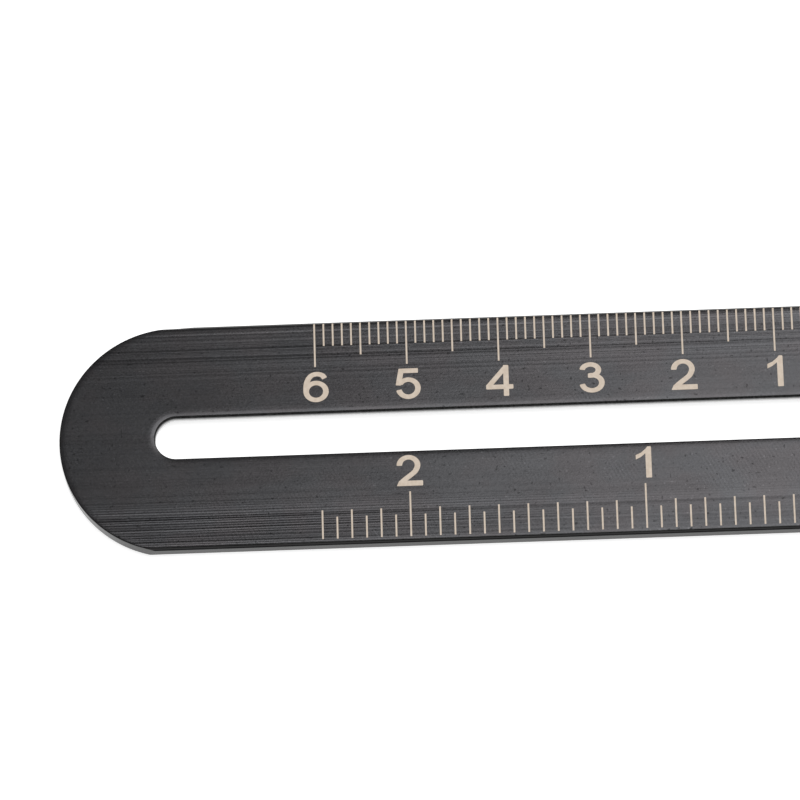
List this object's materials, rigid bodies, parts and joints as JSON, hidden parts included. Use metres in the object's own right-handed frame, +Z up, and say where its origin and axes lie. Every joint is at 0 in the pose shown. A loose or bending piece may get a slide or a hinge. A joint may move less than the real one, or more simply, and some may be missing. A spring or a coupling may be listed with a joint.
{
  "type": "folding template ruler",
  "caption": "Flat slotted ruler arms clamped at the corners by screws and knurled thumb nuts, folding and sliding to copy an angle or outline.",
  "frame": {"origin": "middle of the frame's footprint in its rest pose, on the plane that the screw heads stand on", "axes": "+X along the front and rear arms, +Y along the left and right arms, +Z up through the screws"},
  "size_m": [0.25, 0.25, 0.015],
  "materials": {
    "arm_aluminium": "black anodised",
    "nut_aluminium": "black anodised",
    "screw_steel": "zinc plated",
    "washer_steel": "zinc plated",
    "spacer_nylon": "natural nylon"
  },
  "bodies": {
    "front_arm": {"front_arm": "arm_aluminium"},
    "left_arm": {"left_arm": "arm_aluminium"},
    "right_arm": {"right_arm": "arm_aluminium"},
    "rear_arm": {"rear_arm": "arm_aluminium"},
    "screw_front_left": {"screw_front_left": "screw_steel", "spacer_front_left": "spacer_nylon"},
    "screw_front_right": {"screw_front_right": "screw_steel", "spacer_front_right": "spacer_nylon"},
    "screw_rear_left": {"screw_rear_left": "screw_steel"},
    "screw_rear_right": {"screw_rear_right": "screw_steel"},
    "spacer_rear_left": {"spacer_rear_left": "spacer_nylon"},
    "spacer_rear_right": {"spacer_rear_right": "spacer_nylon"},
    "washer_front_left": {"washer_front_left": "washer_steel"},
    "nut_front_left": {"nut_front_left": "nut_aluminium"},
    "washer_rear_left": {"washer_rear_left": "washer_steel"},
    "nut_rear_left": {"nut_rear_left": "nut_aluminium"},
    "washer_rear_right": {"washer_rear_right": "washer_steel"},
    "nut_rear_right": {"nut_rear_right": "nut_aluminium"},
    "washer_front_right": {"washer_front_right": "washer_steel"},
    "nut_front_right": {"nut_front_right": "nut_aluminium"}
  },
  "joints": [
    {"name": "front_left_screw_slide", "type": "slide", "parent": "front_arm", "child": "screw_front_left", "axis": [1, 0, 0], "range_m": [-0.0877, 0]},
    {"name": "front_right_screw_slide", "type": "slide", "parent": "front_arm", "child": "screw_front_right", "axis": [1, 0, 0], "range_m": [-0.03, 0]},
    {"name": "frame_fold", "type": "hinge", "parent": "screw_front_right", "child": "right_arm", "pos_m": [0.11134, -0.1125, 0.00435], "axis": [0, 0, 1], "range_deg": [-75, 75]},
    {"name": "left_arm_fold", "type": "hinge", "parent": "screw_front_left", "child": "left_arm", "pos_m": [-0.02366, -0.1125, 0.00435], "axis": [0, 0, 1], "range_deg": [-75, 75]},
    {"name": "rear_right_slide", "type": "slide", "parent": "right_arm", "child": "spacer_rear_right", "axis": [0, 1, 0], "range_m": [0, 0.09]},
    {"name": "rear_right_fold", "type": "hinge", "parent": "spacer_rear_right", "child": "screw_rear_right", "pos_m": [0.11134, 0.0225, 0.00435], "axis": [0, 0, 1], "range_deg": [-75, 75]},
    {"name": "rear_arm_slide", "type": "slide", "parent": "screw_rear_right", "child": "rear_arm", "axis": [1, 0, 0], "range_m": [0, 0.03]},
    {"name": "rear_left_slide", "type": "slide", "parent": "left_arm", "child": "spacer_rear_left", "axis": [0, 1, 0], "range_m": [0, 0.09]},
    {"name": "rear_left_fold", "type": "hinge", "parent": "spacer_rear_left", "child": "screw_rear_left", "pos_m": [-0.02366, 0.0225, 0.00435], "axis": [0, 0, 1], "range_deg": [-75, 75]},
    {"name": "front_left_washer_lift", "type": "slide", "parent": "screw_front_left", "child": "washer_front_left", "axis": [0, 0, 1], "range_m": [0, 0.0014]},
    {"name": "front_left_nut_spin", "type": "hinge", "parent": "washer_front_left", "child": "nut_front_left", "pos_m": [-0.02366, -0.1125, 0.00435], "axis": [0, 0, 1], "range_deg": [0, 720]},
    {"name": "rear_left_washer_lift", "type": "slide", "parent": "screw_rear_left", "child": "washer_rear_left", "axis": [0, 0, 1], "range_m": [0, 0.0014]},
    {"name": "rear_left_nut_spin", "type": "hinge", "parent": "washer_rear_left", "child": "nut_rear_left", "pos_m": [-0.02366, 0.0225, 0.00435], "axis": [0, 0, 1], "range_deg": [0, 720]},
    {"name": "rear_right_washer_lift", "type": "slide", "parent": "screw_rear_right", "child": "washer_rear_right", "axis": [0, 0, 1], "range_m": [0, 0.0014]},
    {"name": "rear_right_nut_spin", "type": "hinge", "parent": "washer_rear_right", "child": "nut_rear_right", "pos_m": [0.11134, 0.0225, 0.00435], "axis": [0, 0, 1], "range_deg": [0, 720]},
    {"name": "front_right_washer_lift", "type": "slide", "parent": "screw_front_right", "child": "washer_front_right", "axis": [0, 0, 1], "range_m": [0, 0.0014]},
    {"name": "front_right_nut_spin", "type": "hinge", "parent": "washer_front_right", "child": "nut_front_right", "pos_m": [0.11134, -0.1125, 0.00435], "axis": [0, 0, 1], "range_deg": [0, 720]}
  ],
  "couplings": [
    {"joint": "left_arm_fold", "follows": "frame_fold", "ratio": 1},
    {"joint": "rear_right_fold", "follows": "frame_fold", "ratio": -1},
    {"joint": "rear_left_fold", "follows": "frame_fold", "ratio": -1},
    {"joint": "rear_left_slide", "follows": "rear_right_slide", "ratio": 1},
    {"joint": "rear_arm_slide", "follows": "front_right_screw_slide", "ratio": -1},
    {"joint": "front_left_nut_spin", "follows": "front_left_washer_lift", "rad_per_m": 8976},
    {"joint": "rear_left_nut_spin", "follows": "rear_left_washer_lift", "rad_per_m": 8976},
    {"joint": "rear_right_nut_spin", "follows": "rear_right_washer_lift", "rad_per_m": 8976},
    {"joint": "front_right_nut_spin", "follows": "front_right_washer_lift", "rad_per_m": 8976}
  ]
}
